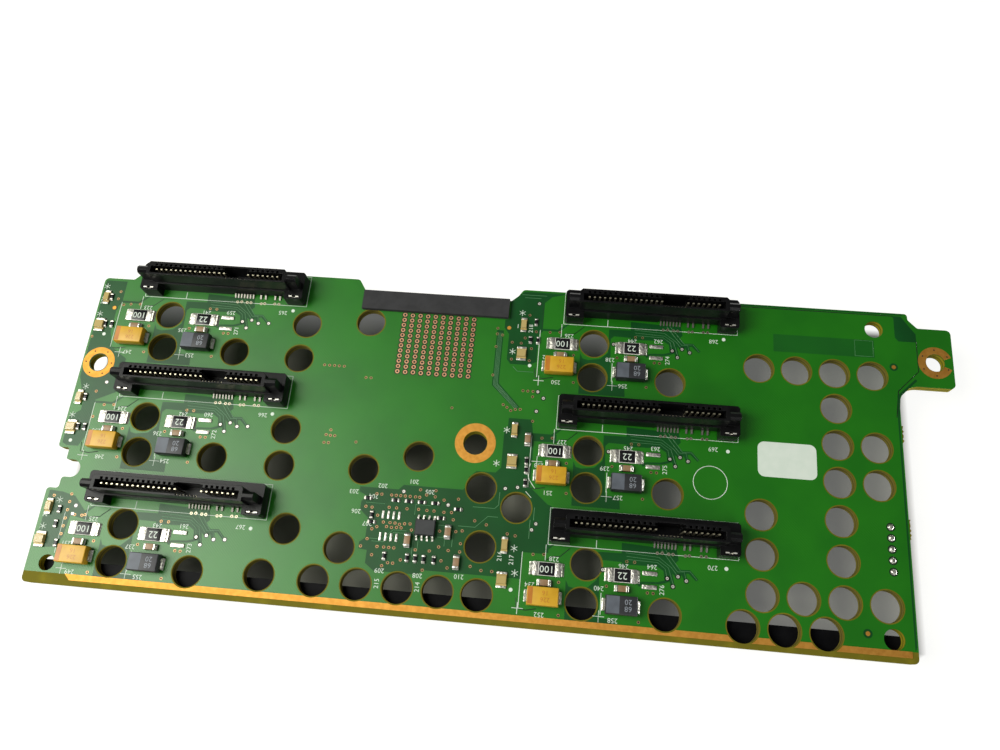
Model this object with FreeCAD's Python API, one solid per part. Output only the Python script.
import FreeCAD, Part
import math
import os

# Drive backplane board for six hot-plug drives in two columns of three bays.
# Frame: origin on the axis of the centre screw hole, on the component side of the
# board. +X runs along the board's long side towards the screw tab, +Y along its
# short side, +Z away from the component side, where the drives plug in.
# All sizes are in millimetres.

# Drive bays
BAY_COLUMN_PITCH = 111.0
BAY_ROW_PITCH = 28.0
BAY_ROWS = 3
RIGHT_COLUMN_X = 41.2

# Circuit board
BOARD_THICKNESS = 2.4
LEFT_MARGIN = 33.9
RIGHT_MARGIN = 60.6
BOARD_CORNER_RADIUS = 1.2
STEP_CORNER_RADIUS = 0.8
INNER_CORNER_RADIUS = 0.4
LEFT_SHOULDER_DROP = 4.3
LEFT_SHOULDER_LENGTH = 8.0
NOTCH_LEFT_X = -33.8
NOTCH_RIGHT_X = 7.4
NOTCH_DEPTH = 3.4
NOTCH_SIDE_SLOPE = 2.2
SCREW_TAB_REACH = 13.6
SCREW_TAB_WIDTH = 15.5
SCREW_TAB_DROP = 3.8
SCREW_TAB_RAMP = 2.2
TAB_NECK_RADIUS = 5.0
EDGE_RECESS_DEPTH = 2.9
EDGE_RECESS_LENGTH = 10.2
EDGE_SLOT_REACH = 4.1
EDGE_SLOT_WIDTH = 4.4
EDGE_SLOT_Y = -14.3

# Screw and locating holes
CENTRE_HOLE_RADIUS = 2.9
LEFT_HOLE_RADIUS = 2.45
TAB_HOLE_RADIUS = 2.25
LEFT_HOLE_Y = 13.7
LEFT_HOLE_INSET = 4.4
TAB_HOLE_INSET = 4.3
TAB_HOLE_DROP = 8.95
UPPER_LOCATING_RADIUS = 2.2
LOWER_LEFT_LOCATING_RADIUS = 1.9
LOWER_RIGHT_LOCATING_RADIUS = 2.3
LOCATING_INSET_X = 5.0
LOCATING_INSET_Y = 4.8

# Plated ground band on the component side
BAND_THICKNESS = 0.1
BAND_WIDTH = 1.4
BAND_EDGE_MARGIN = 1.2
BAND_LEFT_INSET = 10.2
BAND_RIGHT_INSET = 1.4
BAND_HOLE_CLEARANCE = 0.3

# Cooling air holes, each cut with a set number of flat sides
VENT_RADIUS = 3.5
VENT_SIDES = 14
VENT_PITCH = 9.144
VENT_FIELD_INSET = 33.5
VENT_FIELD_TOP = 24.66
BOTTOM_VENT_INSET = 6.2
BOTTOM_VENT_X = [-34.4, -24.3, -14.6, -5.2, 3.9]
CORNER_VENT_INSET = 4.6
CORNER_VENT_SHIFT = 4.4
UPPER_BAY_VENTS = [(-13.8, 0.2), (-13.8, -8.9), (5.4, -8.8)]
LOWEST_BAY_VENTS = [(-12.7, 1.3), (-13.4, -7.6), (5.4, -8.4)]
LEFT_BAY_EXTRA_VENTS = [(23.0, 28.2), (22.5, 18.7), (22.5, -0.2), (22.5, -9.4), (22.5, -35.7),
                        (26.7, -24.5)]
MIDDLE_VENTS = [(-30.2, 29.9), (-26.4, -8.7), (-13.4, -4.4), (-29.5, -27.8), (2.5, -10.9),
                (11.3, -15.0), (3.6, -24.8)]
VENT_FIELD_ROWS = [(0, 1, 2, 3), (2,), (2, 3), (2, 3), (0, 2), (0, 2), (0, 1, 2, 3)]

# Drive connector: housing
CONNECTOR_Y = 9.2
HOUSING_LENGTH = 43.2
BASE_FRONT = 3.85
BASE_BACK = 3.75
BASE_HEIGHT = 4.0
BASE_CORNER = 0.5
FOOT_LENGTH = 4.7
HOUSING_HEIGHT = 8.9
TOWER_LENGTH = 36.4
TOWER_FRONT = 1.65
TOWER_BACK = 1.95
TOWER_CORNER = 0.6
LEDGE_FRONT = 1.95
SLOT_LENGTH = 34.6
SLOT_FRONT = 1.15
SLOT_BACK = 0.75
SLOT_DEPTH = 5.4
KEY_GAP_BACK = 1.55
POST_LENGTH = 2.6
POST_WIDTH = 2.0
POST_LEAD_IN = 0.6
TAIL_RECESS_HEIGHT = 0.9
TAIL_RECESS_BACK = 0.85

# Drive connector: contacts
CONTACT_PITCH = 1.27
POWER_CONTACTS = 15
SIGNAL_CONTACTS = 7
SEGMENT_GAP = 6.35
CONTACT_WIDTH = 0.45
CONTACT_THICKNESS = 0.3
CONTACT_TIP_DROP = 0.5
CAVITY_SIZE = 0.6
CAVITY_Y = 1.12
CAVITY_DEPTH = 3.0
SECOND_PORT_PITCH = 0.8
SECOND_PORT_CONTACTS = 7
SECOND_PORT_WIDTH = 0.35
COMB_GROOVE_WIDTH = 0.45
COMB_GROOVE_DEPTH = 0.3
TAIL_REACH = 2.9
TAIL_THICKNESS = 0.25
SIGNAL_GROUND_EVERY = 3

# Drive connector: metal hold-downs in the end feet
HOLD_DOWN_LENGTH = 2.6
HOLD_DOWN_THICKNESS = 0.3
HOLD_DOWN_SLOT_CLEARANCE = 0.2
HOLD_DOWN_INSET = 2.2
HOLD_DOWN_FRONT = 0.75
HOLD_DOWN_NOTCH = 0.9

# Moulded capacitors
MOULDED_LENGTH = 7.3
MOULDED_WIDTH = 4.3
MOULDED_HEIGHT = 2.8
MOULDED_DRAFT = 0.18
MOULDED_TERMINAL_WIDTH = 2.4
MOULDED_TERMINAL_HEIGHT = 1.3
MOULDED_TERMINAL_FOOT = 0.9
TERMINAL_SHEET = 0.15
YELLOW_CAPACITOR_AT = (-22.2, -6.9)
BLACK_CAPACITOR_AT = (-4.5, -7.3)

# Power resistors and ceramic capacitors
POWER_RESISTOR_SIZE = (6.4, 3.2, 0.6)
POWER_RESISTORS_AT = [(-21.7, -0.6), (-4.4, -0.6)]
CERAMIC_SIZE = (2.8, 1.5, 1.2)
CERAMICS_AT = [(-22.1, -3.75), (-4.45, -3.55)]

# Indicator lamps
LAMP_BASE_HEIGHT = 0.4
LAMP_HEIGHT = 1.0
LAMP_TERMINAL = 0.5
LAMP_DRAFT = 0.12
SMALL_LAMP_SIZE = (1.5, 3.2)
LARGE_LAMP_SIZE = (2.4, 3.0)
SMALL_LAMP_AT = (-31.9, 4.0)
LARGE_LAMP_AT = (-31.9, -3.9)

# Controller chip
CHIP_CENTRE = (-9.6, -21.6)
CHIP_SIZE = (4.9, 3.9, 1.5)
CHIP_STANDOFF = 0.15
CHIP_FOOT_BEVEL = 0.12
CHIP_TOP_BEVEL = 0.25
CHIP_LEADS = 4
CHIP_LEAD_PITCH = 1.27
CHIP_LEAD_WIDTH = 0.42
CHIP_LEAD_SHEET = 0.2
CHIP_LEAD_REACH = 1.05
CHIP_LEAD_FOOT = 0.6
CHIP_CERAMICS_AT = [(-4.2, -22.1), (-1.5, -28.9), (-13.5, -24.8), (12.7, 1.8)]

# Black pad over the top notch and black edge strip on the back
PAD_THICKNESS = 1.2
PAD_WIDTH = 5.2
PAD_LEFT_X = -33.0
PAD_RIGHT_X = 5.2
EDGE_STRIP_WIDTH = 5.6
EDGE_STRIP_THICKNESS = 4.0
EDGE_STRIP_END_INSET = 2.0
EDGE_STRIP_EDGE_INSET = 0.2

# Rear connector to the system board
REAR_COLUMNS = 10
REAR_ROWS = 12
REAR_COLUMN_PITCH = 2.0
REAR_ROW_PITCH = 1.42
REAR_CENTRE = (-12.6, 24.9)
REAR_HEIGHT = 9.0
REAR_END_WALL = 2.4
REAR_SIDE_WALL = 2.0
REAR_SLOT_WIDTH = 0.8
REAR_SLOT_DEPTH = 5.5
REAR_SLOT_OVERRUN = 0.6
REAR_KEY_WIDTH = 3.0
REAR_KEY_DEPTH = 0.9
REAR_EDGE_CHAMFER = 0.5

# Rear cable header at the right edge
HEADER_PINS = 5
HEADER_PITCH = 2.54
HEADER_INSET = 4.2
HEADER_CENTRE_Y = -17.4
HEADER_WIDTH = 5.0
HEADER_HEIGHT = 5.2
HEADER_WALL = 0.8
HEADER_FLOOR = 1.2
HEADER_PIN = 0.64
HEADER_HOLE_RADIUS = 0.5
HEADER_HOLE_SIDES = 8
HEADER_PIN_CLEARANCE = 0.05
HEADER_PIN_STAND = 0.6
HEADER_PIN_TIP_GAP = 0.9

# How far a cutter runs past the face that it opens
OVERCUT = 1.0

# Values that follow from the sizes above
LEFT_COLUMN_X = RIGHT_COLUMN_X - BAY_COLUMN_PITCH
BOARD_TOP = BAY_ROW_PITCH * BAY_ROWS / 2
BOARD_BOTTOM = -BOARD_TOP
BOARD_LEFT = LEFT_COLUMN_X - LEFT_MARGIN
BOARD_RIGHT = RIGHT_COLUMN_X + RIGHT_MARGIN
BOARD_BACK = -BOARD_THICKNESS
BAY_ROW_Y = [BOARD_TOP - BAY_ROW_PITCH * (row + 0.5) for row in range(BAY_ROWS)]
TAB_RIGHT = BOARD_RIGHT + SCREW_TAB_REACH
TAB_TOP = BOARD_TOP - SCREW_TAB_DROP
TAB_HOLE = (TAB_RIGHT - TAB_HOLE_INSET, TAB_TOP - TAB_HOLE_DROP)
LEFT_HOLE = (BOARD_LEFT + LEFT_HOLE_INSET, LEFT_HOLE_Y)
CONTACT_ROW_LENGTH = (POWER_CONTACTS + SIGNAL_CONTACTS - 2) * CONTACT_PITCH + SEGMENT_GAP
FIRST_CONTACT_X = -CONTACT_ROW_LENGTH / 2
LAST_POWER_X = FIRST_CONTACT_X + (POWER_CONTACTS - 1) * CONTACT_PITCH
FIRST_SIGNAL_X = LAST_POWER_X + SEGMENT_GAP
KEY_GAP_X = (LAST_POWER_X + FIRST_SIGNAL_X) / 2
SLOT_FLOOR = HOUSING_HEIGHT - SLOT_DEPTH
ROW_NAMES = ["upper", "middle", "lower"]


def block(x_range, y_range, z_range):
    corner = FreeCAD.Vector(x_range[0], y_range[0], z_range[0])
    length, width, height = [high - low for low, high in (x_range, y_range, z_range)]
    return Part.makeBox(length, width, height, corner)


def centred_block(centre, size, z_range):
    x_range = (centre[0] - size[0] / 2, centre[0] + size[0] / 2)
    y_range = (centre[1] - size[1] / 2, centre[1] + size[1] / 2)
    return block(x_range, y_range, z_range)


def moved(shape, x, y, z=0.0):
    copy = shape.copy()
    copy.translate(FreeCAD.Vector(x, y, z))
    return copy


def prism(points, z_range):
    """Upright solid on a plan outline given as (x, y) corners."""
    corners = [FreeCAD.Vector(x, y, z_range[0]) for x, y in points]
    face = Part.Face(Part.makePolygon(corners + corners[:1]))
    return face.extrude(FreeCAD.Vector(0, 0, z_range[1] - z_range[0]))


def side_profile(points, x_range):
    """Solid with a side outline given as (y, z) corners, run along X."""
    corners = [FreeCAD.Vector(x_range[0], y, z) for y, z in points]
    face = Part.Face(Part.makePolygon(corners + corners[:1]))
    return face.extrude(FreeCAD.Vector(x_range[1] - x_range[0], 0, 0))


def round_hole(centre, radius):
    """Round cutter right through the board."""
    start = FreeCAD.Vector(centre[0], centre[1], BOARD_BACK - OVERCUT)
    return Part.makeCylinder(radius, BOARD_THICKNESS + 2 * OVERCUT, start)


def flat_sided_hole(centre, radius, sides):
    """Cutter right through the board with flat sides that keep a round hole's area."""
    step = 2 * math.pi / sides
    reach = radius * math.sqrt(step / math.sin(step))
    turns = [step * (index + 0.5) for index in range(sides)]
    points = [(centre[0] + reach * math.cos(turn), centre[1] + reach * math.sin(turn)) for turn in turns]
    return prism(points, (BOARD_BACK - OVERCUT, OVERCUT))


def rounded_outline(corners, z):
    """Closed wire through (x, y, radius) corners, each corner turned by an arc."""
    edges = []
    ends = []
    count = len(corners)
    for index, (x, y, radius) in enumerate(corners):
        here = FreeCAD.Vector(x, y, z)
        before = FreeCAD.Vector(corners[index - 1][0], corners[index - 1][1], z)
        after = FreeCAD.Vector(corners[(index + 1) % count][0], corners[(index + 1) % count][1], z)
        towards_before = (before - here).normalize()
        towards_after = (after - here).normalize()
        half_angle = towards_before.getAngle(towards_after) / 2
        setback = radius / math.tan(half_angle)
        bisector = (towards_before + towards_after).normalize()
        middle = here + bisector * (radius / math.sin(half_angle) - radius)
        ends.append((here + towards_before * setback, middle, here + towards_after * setback))
    for index, (arc_start, arc_middle, arc_end) in enumerate(ends):
        edges.append(Part.Arc(arc_start, arc_middle, arc_end).toShape())
        next_start = ends[(index + 1) % count][0]
        if arc_end.distanceToPoint(next_start) > 0.001:
            edges.append(Part.makeLine(arc_end, next_start))
    return Part.Wire(edges)


def board_outline():
    """Corners of the board, anticlockwise from the lower left."""
    corner = BOARD_CORNER_RADIUS
    step = STEP_CORNER_RADIUS
    recess_top = EDGE_SLOT_Y + EDGE_RECESS_LENGTH / 2
    recess_bottom = EDGE_SLOT_Y - EDGE_RECESS_LENGTH / 2
    recess_x = BOARD_LEFT + EDGE_RECESS_DEPTH
    slot_top = EDGE_SLOT_Y + EDGE_SLOT_WIDTH / 2
    slot_bottom = EDGE_SLOT_Y - EDGE_SLOT_WIDTH / 2
    slot_x = recess_x + EDGE_SLOT_REACH
    slot_radius = EDGE_SLOT_WIDTH / 2
    tab_bottom = TAB_TOP - SCREW_TAB_WIDTH
    shoulder_x = BOARD_LEFT + LEFT_SHOULDER_LENGTH
    notch_floor = BOARD_TOP - NOTCH_DEPTH
    tab_start = BOARD_RIGHT + NOTCH_DEPTH
    return [
        (BOARD_LEFT, BOARD_BOTTOM, corner),
        (BOARD_RIGHT, BOARD_BOTTOM, corner),
        (BOARD_RIGHT, tab_bottom, TAB_NECK_RADIUS),
        (TAB_RIGHT, tab_bottom, corner),
        (TAB_RIGHT, TAB_TOP, corner),
        (tab_start + SCREW_TAB_RAMP, TAB_TOP, step),
        (tab_start, TAB_TOP + SCREW_TAB_RAMP, step),
        (tab_start, BOARD_TOP, step),
        (NOTCH_RIGHT_X + NOTCH_SIDE_SLOPE / 2, BOARD_TOP, corner),
        (NOTCH_RIGHT_X - NOTCH_SIDE_SLOPE / 2, notch_floor, step),
        (NOTCH_LEFT_X + NOTCH_SIDE_SLOPE / 2, notch_floor, step),
        (NOTCH_LEFT_X - NOTCH_SIDE_SLOPE / 2, BOARD_TOP, corner),
        (shoulder_x + LEFT_SHOULDER_DROP, BOARD_TOP, step),
        (shoulder_x, BOARD_TOP - LEFT_SHOULDER_DROP, step),
        (BOARD_LEFT, BOARD_TOP - LEFT_SHOULDER_DROP, corner),
        (BOARD_LEFT, recess_top, step),
        (recess_x, recess_top, INNER_CORNER_RADIUS),
        (recess_x, slot_top, INNER_CORNER_RADIUS),
        (slot_x, slot_top, slot_radius),
        (slot_x, slot_bottom, slot_radius),
        (recess_x, slot_bottom, step),
        (recess_x, recess_bottom, step),
        (BOARD_LEFT, recess_bottom, step),
    ]


def bay_datums():
    """Names and datum points of the six bays, row by row."""
    datums = []
    for side, x in (("left", LEFT_COLUMN_X), ("right", RIGHT_COLUMN_X)):
        for name, y in zip(ROW_NAMES, BAY_ROW_Y):
            datums.append((name + "_" + side, x, y))
    return datums


def vent_centres():
    """Centres of the cooling air holes."""
    centres = list(MIDDLE_VENTS)
    for name, x, y in bay_datums():
        pattern = LOWEST_BAY_VENTS if name.startswith("lower") else UPPER_BAY_VENTS
        centres += [(x + dx, y + dy) for dx, dy in pattern]
    centres += [(LEFT_COLUMN_X + dx, y) for dx, y in LEFT_BAY_EXTRA_VENTS]
    field_x = BOARD_RIGHT - VENT_FIELD_INSET
    for row, columns in enumerate(VENT_FIELD_ROWS):
        y = VENT_FIELD_TOP - row * VENT_PITCH
        centres += [(field_x + column * VENT_PITCH, y) for column in columns]
    corner_y = BOARD_BOTTOM + CORNER_VENT_INSET
    centres += [(field_x - CORNER_VENT_SHIFT + column * VENT_PITCH, corner_y) for column in range(3)]
    bottom_y = BOARD_BOTTOM + BOTTOM_VENT_INSET
    centres += [(x, bottom_y) for x in BOTTOM_VENT_X]
    return centres


def header_pin_centres():
    first_y = HEADER_CENTRE_Y - (HEADER_PINS - 1) * HEADER_PITCH / 2
    return [(BOARD_RIGHT - HEADER_INSET, first_y + pin * HEADER_PITCH) for pin in range(HEADER_PINS)]


def circuit_board():
    plate = Part.Face(rounded_outline(board_outline(), BOARD_BACK))
    board = plate.extrude(FreeCAD.Vector(0, 0, BOARD_THICKNESS))
    locating_x = BOARD_RIGHT - LOCATING_INSET_X
    locating_y = BOARD_BOTTOM + LOCATING_INSET_Y
    holes = [flat_sided_hole(centre, VENT_RADIUS, VENT_SIDES) for centre in vent_centres()]
    for centre in header_pin_centres():
        holes.append(flat_sided_hole(centre, HEADER_HOLE_RADIUS, HEADER_HOLE_SIDES))
    holes += [
        round_hole((0, 0), CENTRE_HOLE_RADIUS),
        round_hole(LEFT_HOLE, LEFT_HOLE_RADIUS),
        round_hole(TAB_HOLE, TAB_HOLE_RADIUS),
        round_hole((locating_x, BOARD_TOP - LOCATING_INSET_Y), UPPER_LOCATING_RADIUS),
        round_hole((locating_x, locating_y), LOWER_RIGHT_LOCATING_RADIUS),
        round_hole((BOARD_LEFT + LOCATING_INSET_X, locating_y), LOWER_LEFT_LOCATING_RADIUS),
    ]
    return board.cut(holes)


def ground_band():
    """Plated band along the lower edge with a slanted left end, cut back round the air holes."""
    low = BOARD_BOTTOM + BAND_EDGE_MARGIN
    high = low + BAND_WIDTH
    left = BOARD_LEFT + BAND_LEFT_INSET
    right = BOARD_RIGHT - BAND_RIGHT_INSET
    corners = [(left + BAND_WIDTH, low), (right, low), (right, high), (left, high)]
    band = prism(corners, (0, BAND_THICKNESS))
    reach = VENT_RADIUS + BAND_HOLE_CLEARANCE
    near = [centre for centre in vent_centres() if centre[1] - reach < high]
    return band.cut([flat_sided_hole(centre, reach, VENT_SIDES) for centre in near]).Solids


def notch_pad():
    """Black pad that lies along the floor of the top notch."""
    pad_top = BOARD_TOP - NOTCH_DEPTH
    return [block((PAD_LEFT_X, PAD_RIGHT_X), (pad_top - PAD_WIDTH, pad_top), (0, PAD_THICKNESS))]


def rear_edge_strip():
    """Black strip under the lower edge, which also closes half of the lowest air holes."""
    x_range = (BOARD_LEFT + EDGE_STRIP_END_INSET, BOARD_RIGHT - EDGE_STRIP_END_INSET)
    low = BOARD_BOTTOM + EDGE_STRIP_EDGE_INSET
    y_range = (low, low + EDGE_STRIP_WIDTH)
    return [block(x_range, y_range, (BOARD_BACK - EDGE_STRIP_THICKNESS, BOARD_BACK))]


def contact_columns():
    """X of each power and signal contact from the middle of its connector."""
    power = [FIRST_CONTACT_X + index * CONTACT_PITCH for index in range(POWER_CONTACTS)]
    signal = [FIRST_SIGNAL_X + index * CONTACT_PITCH for index in range(SIGNAL_CONTACTS)]
    return power + signal


def second_port_columns():
    first = KEY_GAP_X - (SECOND_PORT_CONTACTS - 1) * SECOND_PORT_PITCH / 2
    return [first + index * SECOND_PORT_PITCH for index in range(SECOND_PORT_CONTACTS)]


def hold_down_centres():
    x = HOUSING_LENGTH / 2 - HOLD_DOWN_INSET
    return [(-x, -BASE_FRONT + HOLD_DOWN_FRONT), (x, -BASE_FRONT + HOLD_DOWN_FRONT)]


def connector_base():
    """Low base with an end foot on each side and a recess for the tails between them."""
    half = HOUSING_LENGTH / 2
    foot = half - FOOT_LENGTH
    corner = BASE_CORNER
    return prism([
        (-half, -BASE_FRONT + corner), (-half + corner, -BASE_FRONT), (-foot, -BASE_FRONT),
        (-foot, -LEDGE_FRONT), (foot, -LEDGE_FRONT),
        (foot, -BASE_FRONT), (half - corner, -BASE_FRONT), (half, -BASE_FRONT + corner),
        (half, BASE_BACK - corner), (half - corner, BASE_BACK), (-half + corner, BASE_BACK),
        (-half, BASE_BACK - corner),
    ], (0, BASE_HEIGHT))


def connector_tower():
    """Upright body round the plug slot, with its two back corners cut off."""
    half = TOWER_LENGTH / 2
    corner = TOWER_CORNER
    return prism([
        (-half, -TOWER_FRONT), (half, -TOWER_FRONT),
        (half, TOWER_BACK - corner), (half - corner, TOWER_BACK),
        (-half + corner, TOWER_BACK), (-half, TOWER_BACK - corner),
    ], (BASE_HEIGHT, HOUSING_HEIGHT))


def guide_post(side):
    """Guide post beside the tower, chamfered at its tip to lead the drive in."""
    near = TOWER_LENGTH / 2
    far = near + POST_LENGTH
    half_width = POST_WIDTH / 2
    middle_y = (SLOT_BACK - SLOT_FRONT) / 2
    x_range = (near, far) if side > 0 else (-far, -near)
    shoulder = HOUSING_HEIGHT - POST_LEAD_IN
    post = side_profile([
        (middle_y - half_width, BASE_HEIGHT), (middle_y + half_width, BASE_HEIGHT),
        (middle_y + half_width, shoulder), (middle_y + half_width - POST_LEAD_IN, HOUSING_HEIGHT),
        (middle_y - half_width + POST_LEAD_IN, HOUSING_HEIGHT), (middle_y - half_width, shoulder),
    ], x_range)
    return post


def connector_cuts():
    """Cutters for the plug slot, the key gap, the cavities, the comb and the hold-down slots."""
    top = HOUSING_HEIGHT + OVERCUT
    slot_z = (SLOT_FLOOR, top)
    cavity_z = (HOUSING_HEIGHT - CAVITY_DEPTH, top)
    gap_half = SEGMENT_GAP / 2 - CAVITY_SIZE / 2
    groove_half = COMB_GROOVE_WIDTH / 2
    groove_y = (-SLOT_FRONT - COMB_GROOVE_DEPTH, -SLOT_FRONT)
    clearance = 2 * HOLD_DOWN_SLOT_CLEARANCE
    hold_down_slot = (HOLD_DOWN_LENGTH + clearance, HOLD_DOWN_THICKNESS + clearance)
    tails_x = (second_port_columns()[0] - SECOND_PORT_PITCH, HOUSING_LENGTH / 2 - FOOT_LENGTH)
    tails_y = (-LEDGE_FRONT - OVERCUT, -TAIL_RECESS_BACK)
    cuts = [
        block((-SLOT_LENGTH / 2, SLOT_LENGTH / 2), (-SLOT_FRONT, SLOT_BACK), slot_z),
        block((KEY_GAP_X - gap_half, KEY_GAP_X + gap_half), (-SLOT_FRONT, KEY_GAP_BACK), slot_z),
        block(tails_x, tails_y, (-OVERCUT, TAIL_RECESS_HEIGHT)),
    ]
    for x in contact_columns():
        cuts.append(centred_block((x, CAVITY_Y), (CAVITY_SIZE, CAVITY_SIZE), cavity_z))
    for x in second_port_columns():
        cuts.append(block((x - groove_half, x + groove_half), groove_y, slot_z))
    for centre in hold_down_centres():
        cuts.append(centred_block(centre, hold_down_slot, (-OVERCUT, BASE_HEIGHT + OVERCUT)))
    return cuts


def connector_housing():
    """One moulded housing: base, tower and guide posts, opened by its cuts."""
    body = connector_base().fuse([connector_tower(), guide_post(-1), guide_post(1)])
    return body.cut(connector_cuts()).removeSplitter()


def contact_beam(x):
    """Spring beam that stands on the slot floor and leans towards the plug."""
    tip = HOUSING_HEIGHT - CONTACT_TIP_DROP
    half = CONTACT_THICKNESS / 2
    lean = CONTACT_THICKNESS
    return side_profile([
        (half, SLOT_FLOOR), (lean + half, SLOT_FLOOR), (half, tip), (-half, tip),
    ], (x - CONTACT_WIDTH / 2, x + CONTACT_WIDTH / 2))


def second_port_beam(x):
    """Fine contact of the second port, in its groove in the front wall."""
    tip = HOUSING_HEIGHT - CONTACT_TIP_DROP
    back = -SLOT_FRONT - COMB_GROOVE_DEPTH
    return side_profile([
        (back, SLOT_FLOOR), (back + COMB_GROOVE_DEPTH / 2, SLOT_FLOOR),
        (back + COMB_GROOVE_DEPTH, tip), (back, tip),
    ], (x - SECOND_PORT_WIDTH / 2, x + SECOND_PORT_WIDTH / 2))


def solder_tail(x, width):
    """Flat tail that leaves the housing at the board and ends in a solder foot."""
    inner = -TOWER_FRONT
    rise = TAIL_RECESS_HEIGHT - TAIL_THICKNESS
    return side_profile([
        (-TAIL_REACH, 0), (inner, 0), (inner, rise), (-TAIL_REACH, TAIL_THICKNESS),
    ], (x - width / 2, x + width / 2))


def connector_contacts():
    columns = contact_columns()
    signals = columns[POWER_CONTACTS:]
    beams = [contact_beam(x) for x in columns]
    beams += [second_port_beam(x) for x in second_port_columns()]
    tails = [solder_tail(x, SECOND_PORT_WIDTH) for x in second_port_columns()]
    pairs = [x for index, x in enumerate(signals) if index % SIGNAL_GROUND_EVERY]
    tails += [solder_tail(x, CONTACT_WIDTH) for x in pairs]
    return beams + tails


def hold_down(centre):
    """Forked metal tab that is soldered to the board and grips the foot."""
    half = HOLD_DOWN_LENGTH / 2
    notch = HOLD_DOWN_NOTCH / 2
    top = BASE_HEIGHT
    notch_floor = top - HOLD_DOWN_NOTCH
    corners = [
        (-half, 0), (half, 0), (half, top), (notch, top),
        (notch, notch_floor), (-notch, notch_floor), (-notch, top), (-half, top),
    ]
    y = centre[1] - HOLD_DOWN_THICKNESS / 2
    points = [FreeCAD.Vector(centre[0] + x, y, z) for x, z in corners]
    outline = Part.Face(Part.makePolygon(points + points[:1]))
    return outline.extrude(FreeCAD.Vector(0, HOLD_DOWN_THICKNESS, 0))


def rectangle(half_x, half_y, z):
    """Closed wire of a rectangle about the Z axis, for lofts."""
    corners = [(-half_x, -half_y), (half_x, -half_y), (half_x, half_y), (-half_x, half_y)]
    points = [FreeCAD.Vector(x, y, z) for x, y in corners]
    return Part.makePolygon(points + points[:1])


def moulded_body():
    """Moulded capacitor body: two tapered halves that meet at a parting line."""
    x = MOULDED_LENGTH / 2
    y = MOULDED_WIDTH / 2
    parting = rectangle(x, y, MOULDED_TERMINAL_HEIGHT)
    bottom = rectangle(x - MOULDED_DRAFT, y - MOULDED_DRAFT, TERMINAL_SHEET)
    top = rectangle(x - MOULDED_DRAFT, y - MOULDED_DRAFT, MOULDED_HEIGHT)
    return Part.makeLoft([bottom, parting], True).fuse(Part.makeLoft([parting, top], True))


def moulded_terminal(side):
    """Tin strip that leaves at the parting line and folds down and under the body."""
    near = MOULDED_LENGTH / 2
    far = near + TERMINAL_SHEET
    foot = near - MOULDED_TERMINAL_FOOT
    corners = [(near, 0), (far, 0), (far, MOULDED_TERMINAL_HEIGHT), (near, MOULDED_TERMINAL_HEIGHT)]
    half = MOULDED_TERMINAL_WIDTH / 2
    points = [FreeCAD.Vector(side * x, -half, z) for x, z in corners]
    face = Part.Face(Part.makePolygon(points + points[:1]))
    upright = face.extrude(FreeCAD.Vector(0, 2 * half, 0))
    low, high = sorted((side * foot, side * near))
    return upright.fuse(block((low, high), (-half, half), (0, TERMINAL_SHEET))).removeSplitter()


def chip_part(size):
    """Ceramic chip part, end terminals and body in one fired block."""
    return centred_block((0, 0), size, (0, size[2]))


def lamp_lens(size):
    """Clear lens, narrower at its top, on the lamp's base."""
    x = size[0] / 2
    y = size[1] / 2 - LAMP_TERMINAL
    foot = rectangle(x, y, LAMP_BASE_HEIGHT)
    top = rectangle(x - LAMP_DRAFT, y - LAMP_DRAFT, LAMP_HEIGHT)
    return Part.makeLoft([foot, top], True)


def lamp_base(size):
    return centred_block((0, 0), size, (0, LAMP_BASE_HEIGHT))


def chip_package():
    """Controller chip package, narrower above and below its parting line."""
    x = CHIP_SIZE[0] / 2
    y = CHIP_SIZE[1] / 2
    middle_z = (CHIP_STANDOFF + CHIP_SIZE[2]) / 2
    foot = rectangle(x - CHIP_FOOT_BEVEL, y - CHIP_FOOT_BEVEL, CHIP_STANDOFF)
    parting = rectangle(x, y, middle_z)
    top = rectangle(x - CHIP_TOP_BEVEL, y - CHIP_TOP_BEVEL, CHIP_SIZE[2])
    package = Part.makeLoft([foot, parting], True).fuse(Part.makeLoft([parting, top], True))
    return moved(package, *CHIP_CENTRE)


def chip_leads():
    """Gull-wing leads along both long sides of the controller chip."""
    side_y = CHIP_SIZE[1] / 2
    shoulder = (CHIP_STANDOFF + CHIP_SIZE[2]) / 2
    sheet = CHIP_LEAD_SHEET
    tip = side_y + CHIP_LEAD_REACH
    heel = tip - CHIP_LEAD_FOOT
    outline = [
        (side_y, shoulder), (heel, shoulder), (heel + sheet, sheet), (tip, sheet),
        (tip, 0), (heel, 0), (heel - sheet, shoulder - sheet), (side_y, shoulder - sheet),
    ]
    leads = []
    first = -(CHIP_LEADS - 1) * CHIP_LEAD_PITCH / 2
    for index in range(CHIP_LEADS):
        x = first + index * CHIP_LEAD_PITCH
        x_range = (x - CHIP_LEAD_WIDTH / 2, x + CHIP_LEAD_WIDTH / 2)
        lead = side_profile(outline, x_range)
        mirrored = side_profile([(-y, z) for y, z in reversed(outline)], x_range)
        leads += [moved(lead, *CHIP_CENTRE), moved(mirrored, *CHIP_CENTRE)]
    return leads


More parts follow.
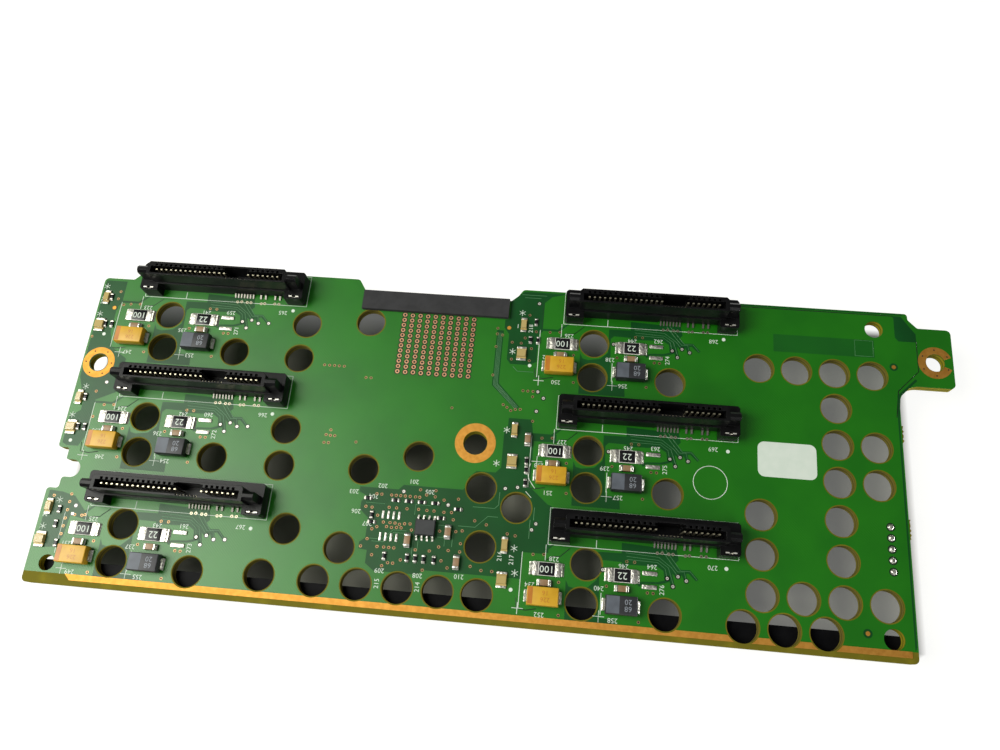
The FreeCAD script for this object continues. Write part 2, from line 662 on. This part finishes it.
def system_connector_housing():
    """Receptacle for the system board: one slot for each column of contacts."""
    rows_length = (REAR_ROWS - 1) * REAR_ROW_PITCH
    length = (REAR_COLUMNS - 1) * REAR_COLUMN_PITCH + 2 * REAR_END_WALL
    width = rows_length + 2 * REAR_SIDE_WALL
    bottom = BOARD_BACK - REAR_HEIGHT
    body = centred_block(REAR_CENTRE, (length, width), (bottom, BOARD_BACK))
    middle_z = BOARD_BACK - REAR_HEIGHT / 2
    rim = [edge for edge in body.Edges if edge.BoundBox.ZMax < middle_z]
    body = body.makeChamfer(REAR_EDGE_CHAMFER, rim)
    slot_size = (REAR_SLOT_WIDTH, rows_length + 2 * REAR_SLOT_OVERRUN)
    slot_z = (bottom - OVERCUT, bottom + REAR_SLOT_DEPTH)
    cuts = []
    for column in range(REAR_COLUMNS):
        x = REAR_CENTRE[0] + (column - (REAR_COLUMNS - 1) / 2) * REAR_COLUMN_PITCH
        cuts.append(centred_block((x, REAR_CENTRE[1]), slot_size, slot_z))
    key_size = (REAR_KEY_WIDTH, 2 * REAR_KEY_DEPTH)
    for side in (-1, 1):
        cuts.append(centred_block((REAR_CENTRE[0], REAR_CENTRE[1] + side * width / 2), key_size, slot_z))
    return body.cut(cuts)


def cable_header_housing():
    """Shrouded housing of the cable header, open at the back."""
    x = BOARD_RIGHT - HEADER_INSET
    length = HEADER_PINS * HEADER_PITCH + 2 * HEADER_WALL
    bottom = BOARD_BACK - HEADER_HEIGHT
    shell = centred_block((x, HEADER_CENTRE_Y), (HEADER_WIDTH, length), (bottom, BOARD_BACK))
    inside = (HEADER_WIDTH - 2 * HEADER_WALL, length - 2 * HEADER_WALL)
    cavity_z = (bottom - OVERCUT, BOARD_BACK - HEADER_FLOOR)
    cuts = [centred_block((x, HEADER_CENTRE_Y), inside, cavity_z)]
    opening = HEADER_PIN + 2 * HEADER_PIN_CLEARANCE
    for centre in header_pin_centres():
        cuts.append(centred_block(centre, (opening, opening), (bottom, BOARD_BACK + OVERCUT)))
    return shell.cut(cuts)


def cable_header_pins():
    low = BOARD_BACK - HEADER_HEIGHT + HEADER_PIN_TIP_GAP
    z_range = (low, HEADER_PIN_STAND)
    return [centred_block(centre, (HEADER_PIN, HEADER_PIN), z_range) for centre in header_pin_centres()]


def in_every_bay(pieces, place):
    """Copies of the pieces at the same place in all six bays."""
    return [moved(piece, x + place[0], y + place[1]) for name, x, y in bay_datums() for piece in pieces]


def turned_chip_part(size, place):
    """Chip part that stands across the board instead of along it."""
    part = chip_part((size[1], size[0], size[2]))
    return moved(part, *place)


def surface_mount_nodes():
    terminals = [moulded_terminal(-1), moulded_terminal(1)]
    power_resistors = []
    for place in POWER_RESISTORS_AT:
        power_resistors += in_every_bay([chip_part(POWER_RESISTOR_SIZE)], place)
    ceramics = [turned_chip_part(CERAMIC_SIZE, place) for place in CHIP_CERAMICS_AT]
    for place in CERAMICS_AT:
        ceramics += in_every_bay([chip_part(CERAMIC_SIZE)], place)
    lamp_bases = []
    lamp_lenses = []
    for size, place in ((SMALL_LAMP_SIZE, SMALL_LAMP_AT), (LARGE_LAMP_SIZE, LARGE_LAMP_AT)):
        lamp_bases += in_every_bay([lamp_base(size)], place)
        lamp_lenses += in_every_bay([lamp_lens(size)], place)
    return {
        "yellow_capacitor_bodies": in_every_bay([moulded_body()], YELLOW_CAPACITOR_AT),
        "yellow_capacitor_terminals": in_every_bay(terminals, YELLOW_CAPACITOR_AT),
        "black_capacitor_bodies": in_every_bay([moulded_body()], BLACK_CAPACITOR_AT),
        "black_capacitor_terminals": in_every_bay(terminals, BLACK_CAPACITOR_AT),
        "power_resistors": power_resistors,
        "ceramic_capacitors": ceramics,
        "indicator_lamp_bases": lamp_bases,
        "indicator_lamp_lenses": lamp_lenses,
        "controller_chip_body": [chip_package()],
        "controller_chip_leads": chip_leads(),
    }


def all_nodes():
    nodes = {
        "circuit_board": [circuit_board()],
        "ground_band": ground_band(),
        "notch_pad": notch_pad(),
        "rear_edge_strip": rear_edge_strip(),
        "system_connector_housing": [system_connector_housing()],
        "cable_header_housing": [cable_header_housing()],
        "cable_header_pins": cable_header_pins(),
    }
    housing = connector_housing()
    contacts = connector_contacts()
    for name, x, y in bay_datums():
        nodes["drive_connector_" + name] = [moved(housing, x, y + CONNECTOR_Y)]
        nodes["drive_contacts_" + name] = [moved(piece, x, y + CONNECTOR_Y) for piece in contacts]
    hold_downs = [hold_down(centre) for centre in hold_down_centres()]
    nodes["connector_hold_downs"] = in_every_bay(hold_downs, (0, CONNECTOR_Y))
    nodes.update(surface_mount_nodes())
    return nodes


def main():
    os.makedirs("parts", exist_ok=True)
    for name, solids in all_nodes().items():
        shape = solids[0] if len(solids) == 1 else Part.makeCompound(solids)
        shape.exportStep("parts/" + name + ".step")
        print(name, len(solids), "solids")


main()
